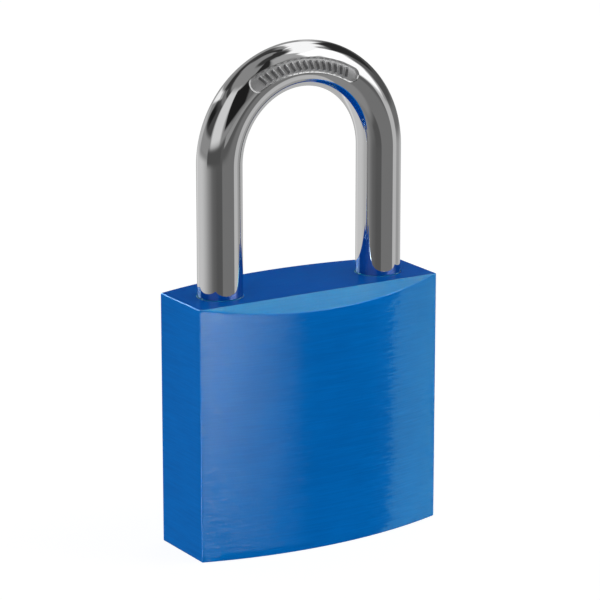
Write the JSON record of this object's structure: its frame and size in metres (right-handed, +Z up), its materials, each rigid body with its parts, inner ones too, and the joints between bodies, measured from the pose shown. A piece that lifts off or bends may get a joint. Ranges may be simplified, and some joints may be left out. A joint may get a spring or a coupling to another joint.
{
  "type": "padlock",
  "caption": "Padlock with a bowed metal body, a round-bar shackle held by locking balls, and a pin cylinder keyed from below.",
  "frame": {"origin": "centre of the body's bottom face, which the padlock stands on", "axes": "+Z up along the shackle's legs, +X across the body from the heel leg to the toe leg, -Y out of the bevelled front face"},
  "size_m": [0.04, 0.0178, 0.0733],
  "materials": {
    "anodised_body": "satin",
    "shackle_chrome": "polished",
    "plug_nickel": "satin",
    "pin_brass": "satin",
    "steel": "satin",
    "ball_steel": "polished",
    "spring_steel": "satin",
    "cap_aluminium": "satin"
  },
  "bodies": {
    "body": {"body": "anodised_body", "shackle_spring": "spring_steel", "shackle_stop_pin": "steel", "plug_snap_ring": "spring_steel", "ball_bore_plug": "cap_aluminium", "pin_chamber_caps": "cap_aluminium", "pin_spring_1": "spring_steel", "pin_spring_2": "spring_steel", "pin_spring_3": "spring_steel", "pin_spring_4": "spring_steel", "pin_spring_5": "spring_steel"},
    "shackle": {"shackle": "shackle_chrome"},
    "plug": {"plug": "plug_nickel", "cam": "steel"},
    "ball_heel": {"ball_heel": "ball_steel"},
    "ball_toe": {"ball_toe": "ball_steel"},
    "key_pin_1": {"key_pin_1": "pin_brass"},
    "driver_pin_1": {"driver_pin_1": "pin_brass"},
    "key_pin_2": {"key_pin_2": "pin_brass"},
    "driver_pin_2": {"driver_pin_2": "pin_brass"},
    "key_pin_3": {"key_pin_3": "pin_brass"},
    "driver_pin_3": {"driver_pin_3": "pin_brass"},
    "key_pin_4": {"key_pin_4": "pin_brass"},
    "driver_pin_4": {"driver_pin_4": "pin_brass"},
    "key_pin_5": {"key_pin_5": "pin_brass"},
    "driver_pin_5": {"driver_pin_5": "pin_brass"}
  },
  "joints": [
    {"name": "shackle_lift", "type": "slide", "parent": "body", "child": "shackle", "axis": [0, 0, 1], "range_m": [0, 0.0123], "deforming": ["shackle_spring"]},
    {"name": "plug_turn", "type": "hinge", "parent": "body", "child": "plug", "pos_m": [0, 0, 0.0124], "axis": [0, 0, -1], "range_deg": [0, 90]},
    {"name": "ball_heel_slide", "type": "slide", "parent": "body", "child": "ball_heel", "axis": [-1, 0, 0], "range_m": [0, 0.00146]},
    {"name": "ball_toe_slide", "type": "slide", "parent": "body", "child": "ball_toe", "axis": [1, 0, 0], "range_m": [0, 0.00146]},
    {"name": "key_pin_1_slide", "type": "slide", "parent": "plug", "child": "key_pin_1", "axis": [0, -1, 0], "range_m": [0, 0.00175]},
    {"name": "key_pin_2_slide", "type": "slide", "parent": "plug", "child": "key_pin_2", "axis": [0, -1, 0], "range_m": [0, 0.00075]},
    {"name": "key_pin_3_slide", "type": "slide", "parent": "plug", "child": "key_pin_3", "axis": [0, -1, 0], "range_m": [0, 0.00215]},
    {"name": "key_pin_4_slide", "type": "slide", "parent": "plug", "child": "key_pin_4", "axis": [0, -1, 0], "range_m": [0, 0.00115]},
    {"name": "key_pin_5_slide", "type": "slide", "parent": "plug", "child": "key_pin_5", "axis": [0, -1, 0], "range_m": [0, 0.00145]},
    {"name": "driver_pin_1_slide", "type": "slide", "parent": "body", "child": "driver_pin_1", "axis": [1, 0, 0], "range_m": [0, 0.002], "stiffness_N_per_m": 80, "deforming": ["pin_spring_1"]},
    {"name": "driver_pin_2_slide", "type": "slide", "parent": "body", "child": "driver_pin_2", "axis": [1, 0, 0], "range_m": [0, 0.002], "stiffness_N_per_m": 80, "deforming": ["pin_spring_2"]},
    {"name": "driver_pin_3_slide", "type": "slide", "parent": "body", "child": "driver_pin_3", "axis": [1, 0, 0], "range_m": [0, 0.002], "stiffness_N_per_m": 80, "deforming": ["pin_spring_3"]},
    {"name": "driver_pin_4_slide", "type": "slide", "parent": "body", "child": "driver_pin_4", "axis": [1, 0, 0], "range_m": [0, 0.002], "stiffness_N_per_m": 80, "deforming": ["pin_spring_4"]},
    {"name": "driver_pin_5_slide", "type": "slide", "parent": "body", "child": "driver_pin_5", "axis": [1, 0, 0], "range_m": [0, 0.002], "stiffness_N_per_m": 80, "deforming": ["pin_spring_5"]}
  ],
  "couplings": [
    {"joint": "ball_heel_slide", "follows": "plug_turn", "m_per_rad": 0.0009231},
    {"joint": "ball_toe_slide", "follows": "plug_turn", "m_per_rad": 0.0009231}
  ]
}
